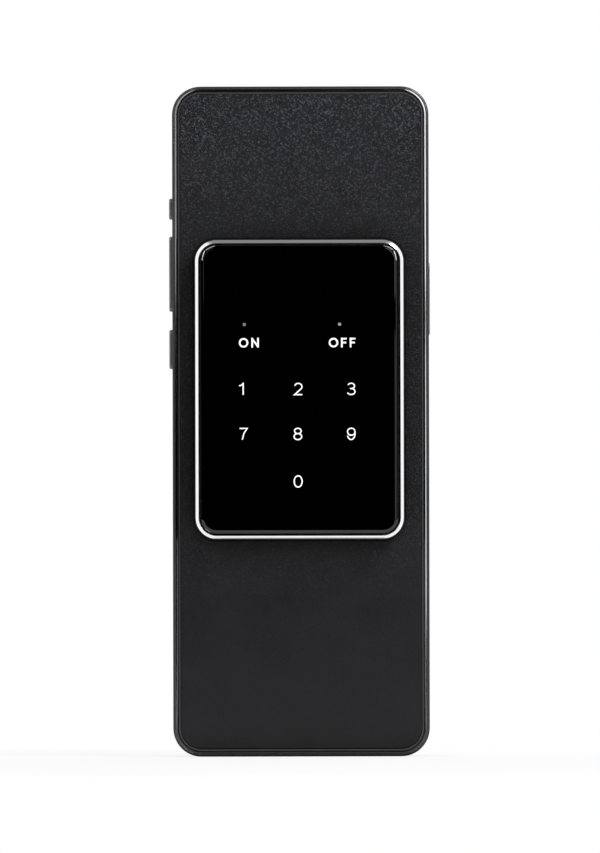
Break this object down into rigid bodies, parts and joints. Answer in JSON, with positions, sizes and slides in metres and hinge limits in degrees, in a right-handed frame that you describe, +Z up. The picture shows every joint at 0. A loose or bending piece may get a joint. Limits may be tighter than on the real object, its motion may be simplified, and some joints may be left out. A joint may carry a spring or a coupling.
{
  "type": "alarm keypad panel",
  "caption": "Slim wall panel for an alarm: touch glass keypad in a polished bezel on a leatherette-faced case, with side buttons, on a lift-off bracket.",
  "frame": {"origin": "middle of the wall bracket's four screw holes, on the wall's face, halfway up the case", "axes": "+Z up along the case, +X to the right seen from the front, +Y into the wall; the keypad faces -Y"},
  "size_m": [0.0772, 0.0232, 0.1986],
  "materials": {
    "frame_metal": "satin dark grey",
    "polished_trim": "polished",
    "front_plate_plastic": "satin",
    "leatherette": "fine grain",
    "cover_plastic": "fine matte",
    "bracket_plastic": "matte",
    "screw_steel": "blackened",
    "housing_plastic": "satin black",
    "seal_rubber": "matte",
    "polished_bezel": "polished",
    "black_glass": "glossy, black from behind",
    "sensor_film": "gloss",
    "light_guide": "milky",
    "circuit_board": "solder mask",
    "led": "clear",
    "chip_plastic": "matte",
    "shield_steel": "plain",
    "flex": "amber film",
    "socket_plastic": "natural",
    "lead_insulation": "satin",
    "sounder_shell": "satin",
    "battery_foil": "foil",
    "foam": "foam",
    "socket_steel": "plain",
    "button_metal": "satin grey",
    "stem_plastic": "natural",
    "spring_steel": "plain",
    "plunger_plastic": "satin"
  },
  "bodies": {
    "bracket": {"wall_bracket": "bracket_plastic"},
    "left_upper_button": {"left_upper_button": "button_metal", "left_upper_stem": "stem_plastic"},
    "left_middle_button": {"left_middle_button": "button_metal", "left_middle_stem": "stem_plastic"},
    "left_lower_button": {"left_lower_button": "button_metal", "left_lower_stem": "stem_plastic"},
    "right_button": {"right_button": "button_metal", "right_stem": "stem_plastic"},
    "tamper_plunger": {"tamper_plunger": "plunger_plastic"},
    "panel": {"frame": "frame_metal", "trim_ring": "polished_trim", "front_plate": "front_plate_plastic", "leatherette_skin": "leatherette", "rear_cover": "cover_plastic", "rear_cover_screws": "screw_steel", "keypad_housing": "housing_plastic", "keypad_seal": "seal_rubber", "keypad_screws": "screw_steel", "keypad_bezel": "polished_bezel", "keypad_glass": "black_glass", "touch_sensor": "sensor_film", "light_guide": "light_guide", "keypad_board": "circuit_board", "backlight_leds": "led", "status_leds": "led", "touch_controller": "chip_plastic", "keypad_ribbon_sockets": "socket_plastic", "keypad_ribbon": "flex", "main_board": "circuit_board", "main_board_screws": "screw_steel", "processor": "chip_plastic", "radio_module": "shield_steel", "power_chip": "chip_plastic", "inductor": "chip_plastic", "antenna": "circuit_board", "antenna_lead": "lead_insulation", "sounder": "sounder_shell", "sounder_lead": "lead_insulation", "battery": "battery_foil", "battery_pads": "foam", "battery_socket": "socket_plastic", "battery_lead": "lead_insulation", "charging_board": "circuit_board", "charging_board_screws": "screw_steel", "charging_socket": "socket_steel", "charging_ribbon_sockets": "socket_plastic", "charging_ribbon": "flex", "left_switches": "chip_plastic", "right_switch": "chip_plastic", "left_switch_board": "circuit_board", "right_switch_board": "circuit_board", "side_flexes": "flex", "tamper_spring": "spring_steel", "tamper_switch": "chip_plastic", "tamper_lead": "lead_insulation"}
  },
  "joints": [
    {"name": "panel_lift", "type": "slide", "parent": "bracket", "child": "panel", "axis": [0, 0, 1], "range_m": [0, 0.008]},
    {"name": "left_upper_button_press", "type": "slide", "parent": "panel", "child": "left_upper_button", "axis": [1, 0, 0], "range_m": [0, 0.0005], "stiffness_N_per_m": 700},
    {"name": "left_middle_button_press", "type": "slide", "parent": "panel", "child": "left_middle_button", "axis": [1, 0, 0], "range_m": [0, 0.0005], "stiffness_N_per_m": 700},
    {"name": "left_lower_button_press", "type": "slide", "parent": "panel", "child": "left_lower_button", "axis": [1, 0, 0], "range_m": [0, 0.0005], "stiffness_N_per_m": 700},
    {"name": "right_button_press", "type": "slide", "parent": "panel", "child": "right_button", "axis": [-1, 0, 0], "range_m": [0, 0.0003], "stiffness_N_per_m": 700},
    {"name": "tamper_plunger_press", "type": "slide", "parent": "panel", "child": "tamper_plunger", "axis": [0, -1, 0], "range_m": [0, 0.0015], "stiffness_N_per_m": 400, "deforming": ["tamper_spring"]}
  ]
}
